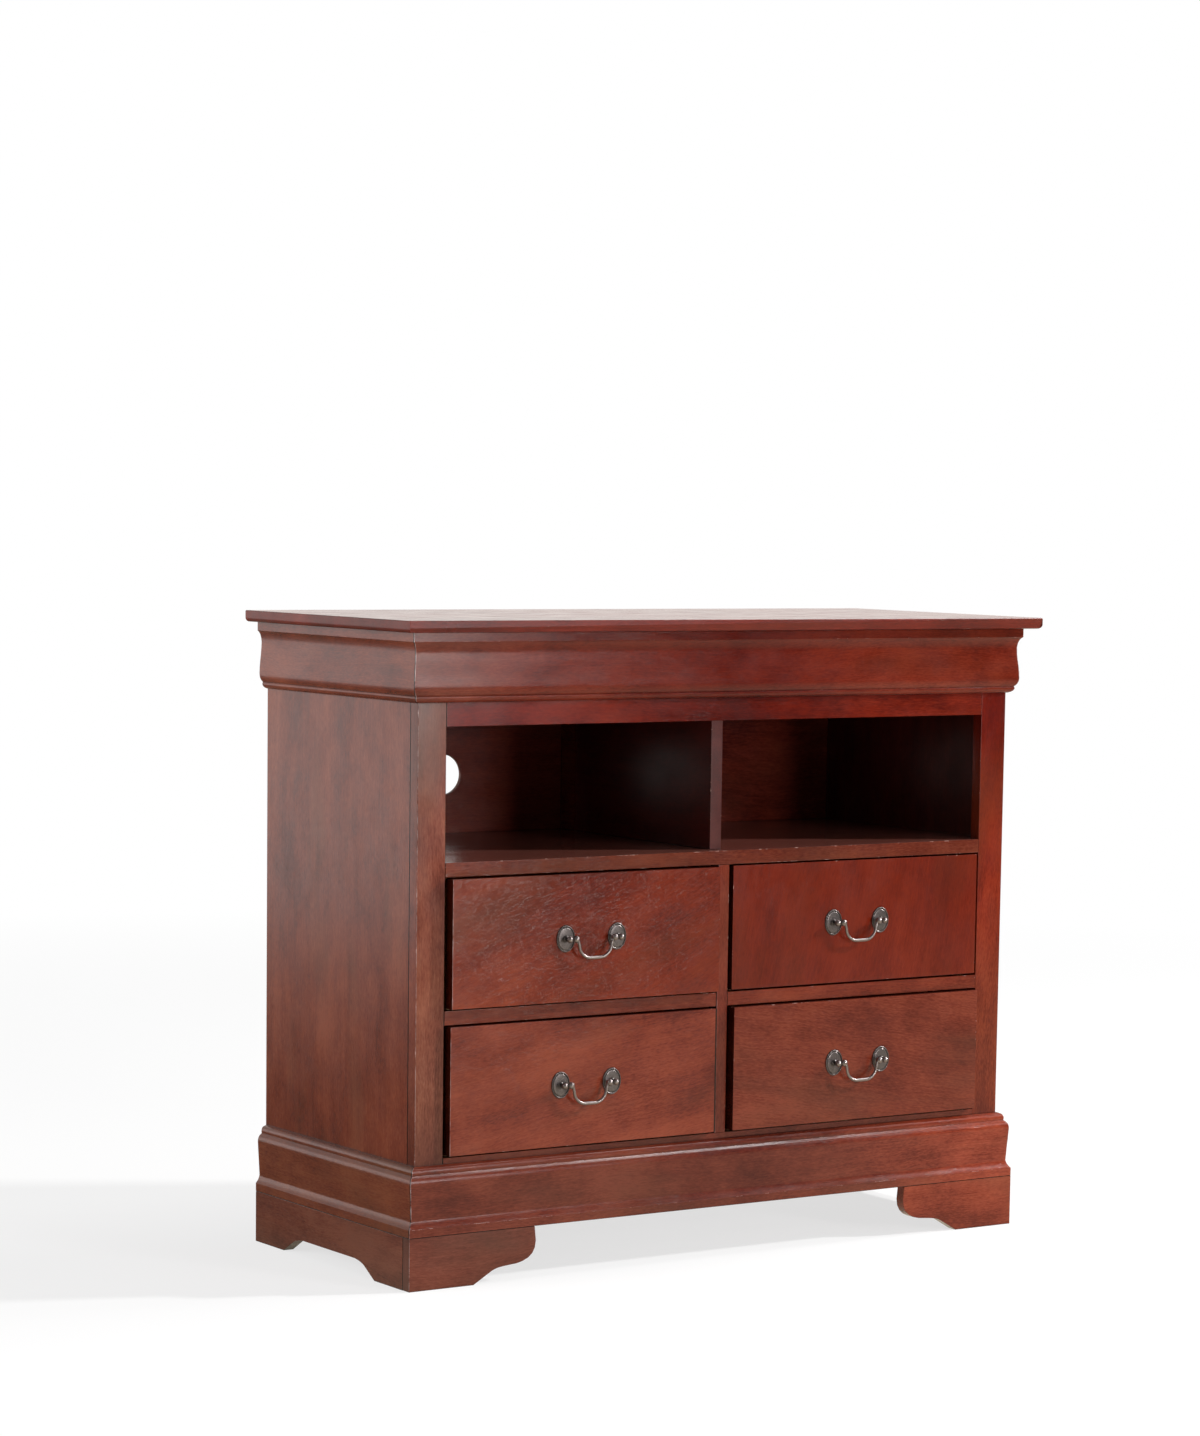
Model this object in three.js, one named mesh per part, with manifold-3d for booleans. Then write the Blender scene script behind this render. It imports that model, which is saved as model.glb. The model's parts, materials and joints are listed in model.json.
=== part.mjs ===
// Four-drawer media chest with two open cubbies over the drawers, a moulded cornice and plinth,
// and bracket feet. Millimetres, +Z up, front towards -Y. The origin is on the floor, in the
// middle of the top's width and depth.
import * as THREE from 'three';
import { mergeVertices } from 'three/addons/utils/BufferGeometryUtils.js';
import Module from 'manifold-3d';

const wasm = await Module();
wasm.setup();

// Overall plan
const overallWidth = 1067;
const overallDepth = 452;
const topSideOverhang = 35.5;
const topFrontOverhang = 37.5;

// Heights, from the floor up
const footHeight = 72.5;
const plinthHeight = 93.5;
const bottomRailReveal = 8;
const drawerOpeningHeight = 180;
const midRailThickness = 19;
const shelfThickness = 19.5;
const cubbyHeight = 182;
const topRailHeight = 125.5;
const topThickness = 16;

// Case boards
const boardThickness = 19;
const stileWidth = 44;
const centreStileWidth = 18.5;
const midRailDepth = 45;
const partitionThickness = 19.2;
const partitionSetback = 22;
const backPanelThickness = 6;
const backRabbetDepth = 9;
const cableHoleRadius = 29;
const cableHoleFromMiddle = 212;
const cableHoleAboveShelf = 85;
const topEdgeRadius = 6;
const topArris = 1.2;

// Cornice, outwards from the case and down from the underside of the top
const corniceHeight = 94;
const corniceProjection = 17;
const corniceFillet = 12.5;
const corniceCoveHeight = 16;
const corniceWaist = 10.6;
const corniceBelly = 13.8;
const corniceBellyDrop = 72;
const corniceFriezeHeight = 84;
const corniceBeadProjection = 9.2;
const corniceRearGap = 1.5;

// Plinth, outwards from the case
const plinthProjection = 17.7;
const plinthFillet = 11.5;
const plinthCoveHeight = 11;
const plinthWaist = 11.9;
const plinthShoulder = 14.8;
const plinthShoulderDrop = 23;
const plinthBeadHeight = 11;
const plinthBeadProjection = 9.2;
const plinthRearGap = 3.5;

// Bracket feet and side skirts
const bracketThickness = 16;
const bracketLength = 200.5;
const footSole = 101.5;
const sideFrontSole = 92.5;
const sideRearSole = 82;
const footRampLength = 36;
const footRampHeight = 20.5;
const lobeHeight = 23.5;
const lobeRadiusAcross = 30;
const bracketTopReturn = 2;

// Drawers
const frontThickness = 19;
const frontLeftGap = 6;
const frontRightGap = 4.2;
const frontTopGap = 2;
const frontBottomGap = 3;
const boxSideThickness = 12;
const boxBackThickness = 12;
const boxSideGap = 9.2;
const boxTopDrop = 14;
const boxBottomThickness = 5;
const boxBottomRise = 9;
const boxGrooveDepth = 5;
const guideWidth = 28;
const guideRise = 6;
const guideHeight = 23;
// How far each front stands out of the face frame, and how far its pull sits to the right of its
// middle and below it
const drawers = {
  upper_left: { standsOut: 11, pullShift: 3.5, pullDrop: 0.5 },
  upper_right: { standsOut: 2, pullShift: 0, pullDrop: 0.5 },
  lower_left: { standsOut: 8, pullShift: 0, pullDrop: 2.5 },
  lower_right: { standsOut: 10, pullShift: 0, pullDrop: 2.5 },
};

// Bail pulls
const postSpacing = 83.5;
const rosetteWidth = 28.5;
const rosetteHeight = 39;
const rosetteRim = 2.6;
const rosetteRimWidth = 3;
const rosetteDish = 1.5;
const postReach = 11;
const ballRadius = 4.8;
const neckRadius = 2.6;
const collarRadius = 4.4;
const collarHeight = 2;
const studRadius = 2;
const nutRadius = 4.5;
const nutThickness = 3;
const wireRadius = 2.1;
const bailHalfWidth = 26.5;
const bailKnuckle = 31.5;
const bailDrop = 26.5;
const bailShoulder = 9;
const bailCornerAcross = 14;

// Fits
const glueLine = 0.2;
const runningGap = 0.3;
const guideSideGap = 0.5;
const studGap = 0.4;
const boreGap = 0.35;

// Shares of the sizes that a curve runs between: control points go across first, then up
const corniceBeadShares = [[0.17, 0], [1, 0.17], [1.15, 0.75], [0.9, 0.92]];
const corniceOvoloShare = 0.35;
const corniceEaseShare = 0.33;
const corniceCoveShares = [0.12, 0.78];
const plinthCoveShares = [0.25, 0.4];
const plinthShoulderShares = [[1, 0.5], [0.5, 0.75]];
const plinthBeadShares = [[0.94, 0], [1.03, 0.2], [1.02, 0.6], [0.72, 0.82], [0.2, 1]];
const rampStraightShares = [0.8, 0.82];
const rampKneeShare = 0.4;
const skirtKneeShares = [1.5, 0.6];
const lobeShares = [[0.42, 0.06], [0, 0.22], [0, 0.6]];
const rosetteRimShares = [0.6, 0.35, 0.7];

// Counts
const curveSteps = 5;
const holeSides = 40;
const rosetteSides = 24;
const postSides = 12;
const wireSides = 8;
const wireSteps = 42;

// Levels and planes that several pieces share
const caseWidth = overallWidth - 2 * topSideOverhang;
const caseHalf = caseWidth / 2;
const caseFront = -overallDepth / 2 + topFrontOverhang;
const caseBack = overallDepth / 2;
const plinthTop = footHeight + plinthHeight;
const lowerOpening = plinthTop + bottomRailReveal;
const midRailBottom = lowerOpening + drawerOpeningHeight;
const upperOpening = midRailBottom + midRailThickness;
const shelfBottom = upperOpening + drawerOpeningHeight;
const shelfTop = shelfBottom + shelfThickness;
const topRailBottom = shelfTop + cubbyHeight;
const caseTop = topRailBottom + topRailHeight;
const sideInner = caseHalf - boardThickness;
const stileInner = caseHalf - stileWidth;
const frameBack = caseFront + boardThickness;
const backPanelFront = caseBack - backPanelThickness;
const openingWidth = stileInner - centreStileWidth / 2;
const openingCentre = (stileInner + centreStileWidth / 2) / 2;
const bracketFront = caseFront - plinthProjection;
const bracketSide = caseHalf + plinthProjection;

const caseWood = new THREE.MeshStandardMaterial({ color: 0x6e3124, roughness: 0.34, metalness: 0 });
const frontWood = new THREE.MeshStandardMaterial({ color: 0x72301f, roughness: 0.34, metalness: 0 });
const boxWood = new THREE.MeshStandardMaterial({ color: 0xb58d5c, roughness: 0.6, metalness: 0 });
const panelBoard = new THREE.MeshStandardMaterial({ color: 0x4a2119, roughness: 0.5, metalness: 0 });
const pewter = new THREE.MeshStandardMaterial({ color: 0x6f6a66, roughness: 0.36, metalness: 0.9 });

const chest = new THREE.Group();

function addPiece(name, geometry, material, parent = chest) {
  const mesh = new THREE.Mesh(geometry, material);
  mesh.name = name;
  parent.add(mesh);
  return mesh;
}

// A plain board between two corners
function addBoard(name, low, high, material, parent = chest) {
  const size = low.map((value, axis) => high[axis] - value);
  const mesh = addPiece(name, new THREE.BoxGeometry(...size), material, parent);
  mesh.position.set(...low.map((value, axis) => value + size[axis] / 2));
  return mesh;
}

// Swaps the corners of every triangle where a mirrored placing has turned the faces inwards
function facesOut(geometry) {
  const place = geometry.getAttribute('position');
  const a = new THREE.Vector3();
  const b = new THREE.Vector3();
  const c = new THREE.Vector3();
  let volume = 0;
  for (let i = 0; i < place.count; i += 3) {
    a.fromBufferAttribute(place, i);
    b.fromBufferAttribute(place, i + 1);
    c.fromBufferAttribute(place, i + 2);
    volume += a.dot(b.cross(c));
  }
  if (volume < 0) {
    for (let i = 0; i < place.count; i += 3) {
      b.fromBufferAttribute(place, i + 1);
      c.fromBufferAttribute(place, i + 2);
      place.setXYZ(i + 1, c.x, c.y, c.z);
      place.setXYZ(i + 2, b.x, b.y, b.z);
    }
  }
  return geometry;
}

// Extrudes an outline by one unit and lets place(u, v, t) put every point where it belongs,
// with t 0 at one end and 1 at the other
function sweep(outline, place, steps = curveSteps) {
  const settings = { depth: 1, bevelEnabled: false, curveSegments: steps };
  const extruded = new THREE.ExtrudeGeometry(outline, settings);
  const geometry = extruded.index ? extruded.toNonIndexed() : extruded;
  const points = geometry.getAttribute('position');
  for (let i = 0; i < points.count; i += 1) {
    const [x, y, z] = place(points.getX(i), points.getY(i), points.getZ(i));
    points.setXYZ(i, x, y, z);
  }
  geometry.computeVertexNormals();
  return facesOut(geometry);
}

const mix = (from, to, t) => from + (to - from) * t;
const sweepY = (outline, from, to, steps) => sweep(outline, (u, v, t) => [u, mix(from, to, t), v], steps);
const sweepZ = (outline, from, to, steps) => sweep(outline, (u, v, t) => [u, v, mix(from, to, t)], steps);

function outlineOf(points) {
  const shape = new THREE.Shape();
  points.forEach(([u, v], i) => (i ? shape.lineTo(u, v) : shape.moveTo(u, v)));
  return shape;
}

function rectangle(u0, v0, u1, v1) {
  return outlineOf([[u0, v0], [u1, v0], [u1, v1], [u0, v1]]);
}

function roundHole(u, v, radius) {
  const hole = new THREE.Path();
  hole.absarc(u, v, radius, 0, 2 * Math.PI, true);
  return hole;
}

// Turns a closed three.js mesh into a solid that can be cut and joined
function solidOf(geometry) {
  const bare = facesOut(geometry.index ? geometry.toNonIndexed() : geometry);
  bare.deleteAttribute('normal');
  bare.deleteAttribute('uv');
  const merged = mergeVertices(bare);
  const index = merged.index.array;
  const kept = [];
  for (let i = 0; i < index.length; i += 3) {
    const [a, b, c] = [index[i], index[i + 1], index[i + 2]];
    if (a !== b && b !== c && c !== a) {
      kept.push(a, b, c);
    }
  }
  const vertProperties = new Float32Array(merged.getAttribute('position').array);
  return new wasm.Manifold(new wasm.Mesh({ numProp: 3, vertProperties, triVerts: new Uint32Array(kept) }));
}

function geometryOf(solid) {
  const { vertProperties, triVerts } = solid.getMesh();
  const geometry = new THREE.BufferGeometry();
  geometry.setAttribute('position', new THREE.BufferAttribute(vertProperties, 3));
  geometry.setIndex(new THREE.BufferAttribute(triVerts, 1));
  geometry.computeVertexNormals();
  return geometry;
}

// How far the top's edge is drawn in at a height above its underside: rounded over below, eased above
function topEdgeInset(rise) {
  if (rise < topEdgeRadius) {
    return topEdgeRadius - Math.sqrt(topEdgeRadius ** 2 - (topEdgeRadius - rise) ** 2);
  }
  return Math.max(0, rise - (topThickness - topArris));
}

function topBoardGeometry() {
  const rises = [];
  for (let i = 0; i <= curveSteps; i += 1) {
    rises.push(topEdgeRadius * (1 - Math.cos((i / curveSteps) * (Math.PI / 2))));
  }
  rises.push(topThickness - topArris);
  rises.push(topThickness);
  const half = overallWidth / 2;
  const rightEdge = rises.map((rise) => [half - topEdgeInset(rise), rise]);
  const leftEdge = rises.map((rise) => [topEdgeInset(rise) - half, rise]).toReversed();
  const outline = outlineOf([...rightEdge, ...leftEdge]);
  const front = -overallDepth / 2;
  return sweep(outline, (u, v, t) => [u, mix(front + topEdgeInset(v), caseBack, t), caseTop + v]);
}

// The cornice section: u is the projection from the case, v the height above the floor
function corniceOutline() {
  const bottom = caseTop - corniceHeight;
  const waistTop = caseTop - corniceFillet - corniceCoveHeight;
  const friezeBottom = caseTop - corniceFriezeHeight;
  const bellyLevel = caseTop - corniceBellyDrop;
  const beadHeight = corniceHeight - corniceFriezeHeight;
  const bodyHeight = waistTop - bellyLevel;
  const [coveAcross, coveUp] = corniceCoveShares;
  const bead = corniceBeadShares.map(([u, v]) => [u * corniceBeadProjection, bottom + v * beadHeight]);
  const shape = new THREE.Shape();
  shape.moveTo(glueLine, bottom);
  shape.lineTo(...bead[0]);
  shape.bezierCurveTo(...bead[1], ...bead[2], ...bead[3]);
  shape.lineTo(corniceBeadProjection, friezeBottom);
  shape.quadraticCurveTo(
    corniceBelly, mix(friezeBottom, bellyLevel, corniceOvoloShare),
    corniceBelly, bellyLevel,
  );
  shape.bezierCurveTo(
    corniceBelly, bellyLevel + bodyHeight * corniceEaseShare,
    corniceWaist, waistTop - bodyHeight * corniceEaseShare,
    corniceWaist, waistTop,
  );
  shape.quadraticCurveTo(
    mix(corniceWaist, corniceProjection, coveAcross), waistTop + corniceCoveHeight * coveUp,
    corniceProjection, waistTop + corniceCoveHeight,
  );
  shape.lineTo(corniceProjection, caseTop - glueLine);
  shape.lineTo(glueLine, caseTop - glueLine);
  return shape;
}

// The plinth section, in the same terms
function plinthOutline() {
  const beadBottom = plinthTop - plinthBeadHeight;
  const shoulderLevel = plinthTop - plinthShoulderDrop;
  const filletTop = footHeight + plinthFillet;
  const [coveAcross, coveUp] = plinthCoveShares;
  const shoulder = plinthShoulderShares.map(([u, v]) => [
    mix(plinthBeadProjection, plinthShoulder, u),
    mix(shoulderLevel, beadBottom, v),
  ]);
  const bead = plinthBeadShares.map(([u, v]) => [
    u * plinthBeadProjection,
    beadBottom + v * plinthBeadHeight,
  ]);
  const shape = new THREE.Shape();
  shape.moveTo(glueLine, footHeight);
  shape.lineTo(plinthProjection, footHeight);
  shape.lineTo(plinthProjection, filletTop);
  shape.quadraticCurveTo(
    mix(plinthWaist, plinthProjection, coveAcross), filletTop + plinthCoveHeight * coveUp,
    plinthWaist, filletTop + plinthCoveHeight,
  );
  shape.lineTo(plinthShoulder, shoulderLevel);
  shape.quadraticCurveTo(...shoulder[0], ...shoulder[1]);
  shape.lineTo(...bead[0]);
  shape.bezierCurveTo(...bead[1], ...bead[2], ...bead[3]);
  shape.lineTo(...bead[4]);
  shape.lineTo(glueLine, plinthTop);
  return shape;
}

// A moulding runs round the front and both sides of the case, mitred at the two front corners.
// The side pieces start one glue line behind the mitre and end a little short of the case's back.
function addMoulding(name, outline, rearGap) {
  const across = (u, v, t) => [mix(-caseHalf - u, caseHalf + u, t), caseFront - u, v];
  addPiece(`${name}_front`, sweep(outline, across), caseWood);
  for (const [label, hand] of [['left', -1], ['right', 1]]) {
    const along = (u, v, t) => [
      hand * (caseHalf + u),
      mix(caseFront - u + 2 * glueLine, caseBack - rearGap, t),
      v,
    ];
    addPiece(`${name}_${label}`, sweep(outline, along), caseWood);
  }
}

// Side panels butt behind the stiles, and a rabbet takes the back panel
function addSidePanel(label, hand) {
  const front = frameBack + glueLine;
  const rabbet = backPanelFront - glueLine;
  const outline = outlineOf([
    [hand * caseHalf, front],
    [hand * caseHalf, caseBack],
    [hand * (sideInner + backRabbetDepth), caseBack],
    [hand * (sideInner + backRabbetDepth), rabbet],
    [hand * sideInner, rabbet],
    [hand * sideInner, front],
  ]);
  addPiece(`side_panel_${label}`, sweepZ(outline, footHeight, caseTop - glueLine), caseWood);
}

function addStile(label, hand) {
  const [near, far] = [hand * stileInner, hand * caseHalf].sort((p, q) => p - q);
  addBoard(`stile_${label}`, [near, caseFront, footHeight], [far, frameBack, caseTop - glueLine], caseWood);
}

function addCase() {
  const railHalf = stileInner - glueLine;
  const underTop = caseTop - glueLine;
  for (const [label, hand] of [['left', -1], ['right', 1]]) {
    addSidePanel(label, hand);
    addStile(label, hand);
  }
  addBoard('top_rail', [-railHalf, caseFront, topRailBottom], [railHalf, frameBack, underTop], caseWood);
  addBoard('bottom_rail', [-railHalf, caseFront, footHeight], [railHalf, frameBack, lowerOpening], caseWood);

  // The shelf is notched round the two stiles and runs back to the back panel
  const shelfHalf = sideInner - glueLine;
  const notch = frameBack + glueLine;
  const shelfRear = backPanelFront - glueLine;
  const shelf = outlineOf([
    [-railHalf, caseFront],
    [railHalf, caseFront],
    [railHalf, notch],
    [shelfHalf, notch],
    [shelfHalf, shelfRear],
    [-shelfHalf, shelfRear],
    [-shelfHalf, notch],
    [-railHalf, notch],
  ]);
  addPiece('shelf_board', sweepZ(shelf, shelfBottom, shelfTop), caseWood);

  const partitionHalf = partitionThickness / 2;
  addBoard(
    'cubby_partition',
    [-partitionHalf, caseFront + partitionSetback, shelfTop + glueLine],
    [partitionHalf, shelfRear, underTop],
    caseWood,
  );

  const centreHalf = centreStileWidth / 2;
  addBoard(
    'centre_stile',
    [-centreHalf, caseFront, lowerOpening + glueLine],
    [centreHalf, frameBack, shelfBottom - glueLine],
    caseWood,
  );
  for (const [label, hand] of [['left', -1], ['right', 1]]) {
    const ends = [hand * (centreHalf + glueLine), hand * railHalf].sort((p, q) => p - q);
    addBoard(
      `mid_rail_${label}`,
      [ends[0], caseFront, midRailBottom],
      [ends[1], caseFront + midRailDepth, upperOpening],
      caseWood,
    );
  }

  // A thin dust panel closes the bottom of the case behind the bottom rail
  addBoard(
    'dust_panel',
    [-shelfHalf, notch, footHeight],
    [shelfHalf, shelfRear, footHeight + backPanelThickness],
    panelBoard,
  );

  const panelHalf = sideInner + backRabbetDepth - glueLine;
  const panel = rectangle(-panelHalf, footHeight, panelHalf, underTop);
  for (const hand of [-1, 1]) {
    panel.holes.push(roundHole(hand * cableHoleFromMiddle, shelfTop + cableHoleAboveShelf, cableHoleRadius));
  }
  addPiece('back_panel', sweepY(panel, backPanelFront, caseBack, holeSides / 2), panelBoard);
}

// The front bracket, in distance from its outer corner and height: a flat sole, a straight ramp,
// a nearly level lobe and a round end that comes back a little at the top
function frontBracketOutline() {
  const top = footHeight - glueLine;
  const rampEnd = footSole + footRampLength;
  const lobeStart = bracketLength - lobeRadiusAcross;
  const [straightAcross, straightUp] = rampStraightShares;
  const lobe = lobeShares.map(([u, v]) => [bracketLength - u * lobeRadiusAcross, mix(lobeHeight, top, v)]);
  const shape = new THREE.Shape();
  shape.moveTo(0, 0);
  shape.lineTo(footSole, 0);
  shape.lineTo(mix(footSole, rampEnd, straightAcross), footRampHeight * straightUp);
  shape.quadraticCurveTo(
    rampEnd, footRampHeight,
    mix(rampEnd, lobeStart, rampKneeShare), mix(footRampHeight, lobeHeight, rampKneeShare),
  );
  shape.lineTo(lobeStart, lobeHeight);
  shape.bezierCurveTo(...lobe[0], ...lobe[1], ...lobe[2]);
  shape.lineTo(bracketLength - bracketTopReturn, top);
  shape.lineTo(0, top);
  return shape;
}

// The side skirt, in distance from the front face of the bracket and height
function skirtOutline(start, end) {
  const top = footHeight - glueLine;
  const [straightAcross, straightUp] = rampStraightShares;
  const [kneeAcross, kneeUp] = skirtKneeShares;
  const softened = (at, dir) => [
    [at, 0],
    [at + dir * footRampLength * straightAcross, footRampHeight * straightUp],
    [at + dir * footRampLength, footRampHeight],
    [at + dir * footRampLength * kneeAcross, mix(footRampHeight, lobeHeight, kneeUp)],
  ];
  const [frontSole, frontRamp, frontKnee, frontFlat] = softened(sideFrontSole, 1);
  const [rearSole, rearRamp, rearKnee, rearFlat] = softened(end - sideRearSole, -1);
  const shape = new THREE.Shape();
  shape.moveTo(start, 0);
  shape.lineTo(...frontSole);
  shape.lineTo(...frontRamp);
  shape.quadraticCurveTo(...frontKnee, ...frontFlat);
  shape.lineTo(...rearFlat);
  shape.quadraticCurveTo(...rearKnee, ...rearRamp);
  shape.lineTo(...rearSole);
  shape.lineTo(end, 0);
  shape.lineTo(end, top);
  shape.lineTo(start, top);
  return shape;
}

function addFeet() {
  const inner = bracketSide - bracketThickness;
  const skirtStart = bracketThickness + glueLine;
  const skirtLength = caseBack - plinthRearGap - bracketFront;
  const bracket = frontBracketOutline();
  const skirt = skirtOutline(skirtStart, skirtLength);
  for (const [label, hand] of [['left', -1], ['right', 1]]) {
    const placeBracket = (u, v, t) => [hand * (bracketSide - u), bracketFront + t * bracketThickness, v];
    addPiece(`foot_front_${label}`, sweep(bracket, placeBracket), caseWood);
    const placeSkirt = (u, v, t) => [hand * mix(inner, bracketSide, t), bracketFront + u, v];
    addPiece(`skirt_${label}`, sweep(skirt, placeSkirt), caseWood);
  }
}

// A centre guide under each drawer, from the rail in front to the back panel
function addGuides() {
  for (const [level, opening, railBack] of [
    ['upper', upperOpening, caseFront + midRailDepth],
    ['lower', lowerOpening, frameBack],
  ]) {
    for (const [label, hand] of [['left', -1], ['right', 1]]) {
      const centre = hand * openingCentre;
      addBoard(
        `guide_${level}_${label}`,
        [centre - guideWidth / 2, railBack + glueLine, opening + guideRise - guideHeight],
        [centre + guideWidth / 2, backPanelFront - glueLine, opening + guideRise],
        boxWood,
      );
    }
  }
}

// One post with its oval rosette, threaded stud and nut, turned about -Y. Its origin is on the
// face of the drawer front. hand is the side on which the bail enters the ball.
function postGeometry(hand) {
  const rim = rosetteHeight / 2;
  const seat = glueLine;
  const [rimShoulder, crestOuter, crestInner] = rosetteRimShares;
  const rosette = new THREE.LatheGeometry(
    [
      [0, seat],
      [rim, seat],
      [rim, rosetteRim * rimShoulder],
      [rim - rosetteRimWidth * crestOuter, rosetteRim],
      [rim - rosetteRimWidth * crestInner, rosetteRim],
      [rim - rosetteRimWidth, rosetteDish],
      [0, rosetteDish],
    ].map(([x, y]) => new THREE.Vector2(x, y)),
    rosetteSides,
  );
  rosette.rotateX(Math.PI);
  rosette.scale(rosetteWidth / rosetteHeight, 1, 1);

  const nutSeat = -frontThickness - glueLine;
  const profile = [
    [0, nutSeat - nutThickness],
    [nutRadius, nutSeat - nutThickness],
    [nutRadius, nutSeat],
    [studRadius, nutSeat],
    [studRadius, rosetteDish / 2],
    [collarRadius, rosetteDish / 2],
    [collarRadius, rosetteDish + collarHeight / 2],
    [neckRadius, rosetteDish + collarHeight],
  ];
  const start = Math.asin(neckRadius / ballRadius);
  const ballSteps = postSides / 2;
  for (let i = 0; i <= ballSteps; i += 1) {
    const angle = mix(Math.PI - start, 0, i / ballSteps);
    const radius = i === ballSteps ? 0 : ballRadius * Math.sin(angle);
    profile.push([radius, postReach + ballRadius * Math.cos(angle)]);
  }
  const post = new THREE.LatheGeometry(profile.map(([x, y]) => new THREE.Vector2(x, y)), postSides);
  post.rotateX(Math.PI);

  const boreLength = 2 * ballRadius;
  const bore = new THREE.CylinderGeometry(wireRadius + boreGap, wireRadius + boreGap, boreLength, postSides);
  bore.rotateZ(Math.PI / 2);
  bore.translate(hand * (boreLength / 2 - ballRadius / 3), -postReach, 0);
  return geometryOf(solidOf(rosette).add(solidOf(post)).subtract(solidOf(bore)));
}

// The bail, hanging from its pivot line at the origin
function bailGeometry() {
  const end = postSpacing / 2 - runningGap;
  const at = (x, z) => new THREE.Vector3(x, 0, z);
  const half = (hand) => [
    [at(hand * end, 0), at(hand * bailKnuckle, 0)],
    [
      at(hand * bailKnuckle, 0),
      at(hand * bailHalfWidth, 0),
      at(hand * bailHalfWidth, -bailShoulder),
    ],
    [
      at(hand * bailHalfWidth, -bailShoulder),
      at(hand * (bailHalfWidth - wireRadius), -bailDrop),
      at(hand * (bailHalfWidth - bailCornerAcross), -bailDrop),
    ],
  ];
  const route = new THREE.CurvePath();
  const left = half(-1);
  const right = half(1).map((points) => points.toReversed()).toReversed();
  const bar = [left.at(-1).at(-1), right[0][0]];
  for (const points of [...left, bar, ...right]) {
    const straight = points.length === 2;
    route.add(straight ? new THREE.LineCurve3(...points) : new THREE.QuadraticBezierCurve3(...points));
  }
  const section = new THREE.Shape();
  section.absarc(0, 0, wireRadius, 0, 2 * Math.PI);
  const settings = {
    extrudePath: route,
    steps: wireSteps,
    curveSegments: wireSides / 2,
    bevelEnabled: false,
  };
  return new THREE.ExtrudeGeometry(section, settings);
}

// A drawer is built about the middle of its opening, at the opening's bottom and the face
// frame's front, and then stands out by its own amount
function addDrawer(name, hand, opening) {
  const { standsOut, pullShift, pullDrop } = drawers[name];
  const drawer = new THREE.Group();
  drawer.position.set(hand * openingCentre, caseFront - standsOut, opening);
  chest.add(drawer);

  const frontLeft = frontLeftGap - openingWidth / 2;
  const frontRight = openingWidth / 2 - frontRightGap;
  const frontTop = drawerOpeningHeight - frontTopGap;
  const pullMiddle = (frontLeft + frontRight) / 2 + pullShift;
  const pullLevel = (frontBottomGap + frontTop) / 2 - pullDrop;
  const face = rectangle(frontLeft, frontBottomGap, frontRight, frontTop);
  for (const side of [-1, 1]) {
    const bore = pullMiddle + (side * postSpacing) / 2;
    face.holes.push(roundHole(bore, pullLevel, studRadius + studGap));
  }
  addPiece(`drawer_front_${name}`, sweepY(face, 0, frontThickness, postSides / 2), frontWood, drawer);

  // Box: grooved sides run on the rails, the bottom slides in, and the back rides the guide
  const boxStart = frontThickness + glueLine;
  const boxEnd = backPanelFront - caseFront - runningGap;
  const boxHalf = openingWidth / 2 - boxSideGap;
  const boxInner = boxHalf - boxSideThickness;
  const boxTop = frontTop - boxTopDrop;
  const low = runningGap;
  const grooveLow = low + boxBottomRise - glueLine;
  const grooveHigh = low + boxBottomRise + boxBottomThickness + glueLine;
  for (const [label, side] of [['left', -1], ['right', 1]]) {
    const section = outlineOf([
      [side * boxHalf, low],
      [side * boxHalf, boxTop],
      [side * boxInner, boxTop],
      [side * boxInner, grooveHigh],
      [side * (boxInner + boxGrooveDepth), grooveHigh],
      [side * (boxInner + boxGrooveDepth), grooveLow],
      [side * boxInner, grooveLow],
      [side * boxInner, low],
    ]);
    addPiece(`drawer_side_${label}_${name}`, sweepY(section, boxStart, boxEnd), boxWood, drawer);
  }
  const backHalf = boxInner - glueLine;
  const notchHalf = guideWidth / 2 + guideSideGap;
  const notchTop = guideRise + runningGap;
  const back = outlineOf([
    [-backHalf, low],
    [-notchHalf, low],
    [-notchHalf, notchTop],
    [notchHalf, notchTop],
    [notchHalf, low],
    [backHalf, low],
    [backHalf, boxTop],
    [-backHalf, boxTop],
  ]);
  const backFront = boxEnd - boxBackThickness;
  addPiece(`drawer_back_${name}`, sweepY(back, backFront, boxEnd), boxWood, drawer);
  const bottomHalf = boxInner + boxGrooveDepth - glueLine;
  addBoard(
    `drawer_bottom_${name}`,
    [-bottomHalf, boxStart, low + boxBottomRise],
    [bottomHalf, backFront - glueLine, low + boxBottomRise + boxBottomThickness],
    boxWood,
    drawer,
  );

  const pull = new THREE.Group();
  pull.position.set(pullMiddle, 0, pullLevel);
  drawer.add(pull);
  for (const [label, side] of [['left', -1], ['right', 1]]) {
    const post = addPiece(`pull_post_${label}_${name}`, postGeometry(-side), pewter, pull);
    post.position.set((side * postSpacing) / 2, 0, 0);
  }
  const bail = addPiece(`pull_bail_${name}`, bailGeometry(), pewter, pull);
  bail.position.set(0, -postReach, 0);
}

addPiece('top_board', topBoardGeometry(), caseWood);
addMoulding('cornice', corniceOutline(), corniceRearGap);
addCase();
addMoulding('plinth', plinthOutline(), plinthRearGap);
addFeet();
addGuides();
for (const [level, opening] of [['upper', upperOpening], ['lower', lowerOpening]]) {
  for (const [label, hand] of [['left', -1], ['right', 1]]) {
    addDrawer(`${level}_${label}`, hand, opening);
  }
}

export default chest;
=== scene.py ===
import json
import math

import bmesh
import bpy
from mathutils import Matrix, Vector


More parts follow.
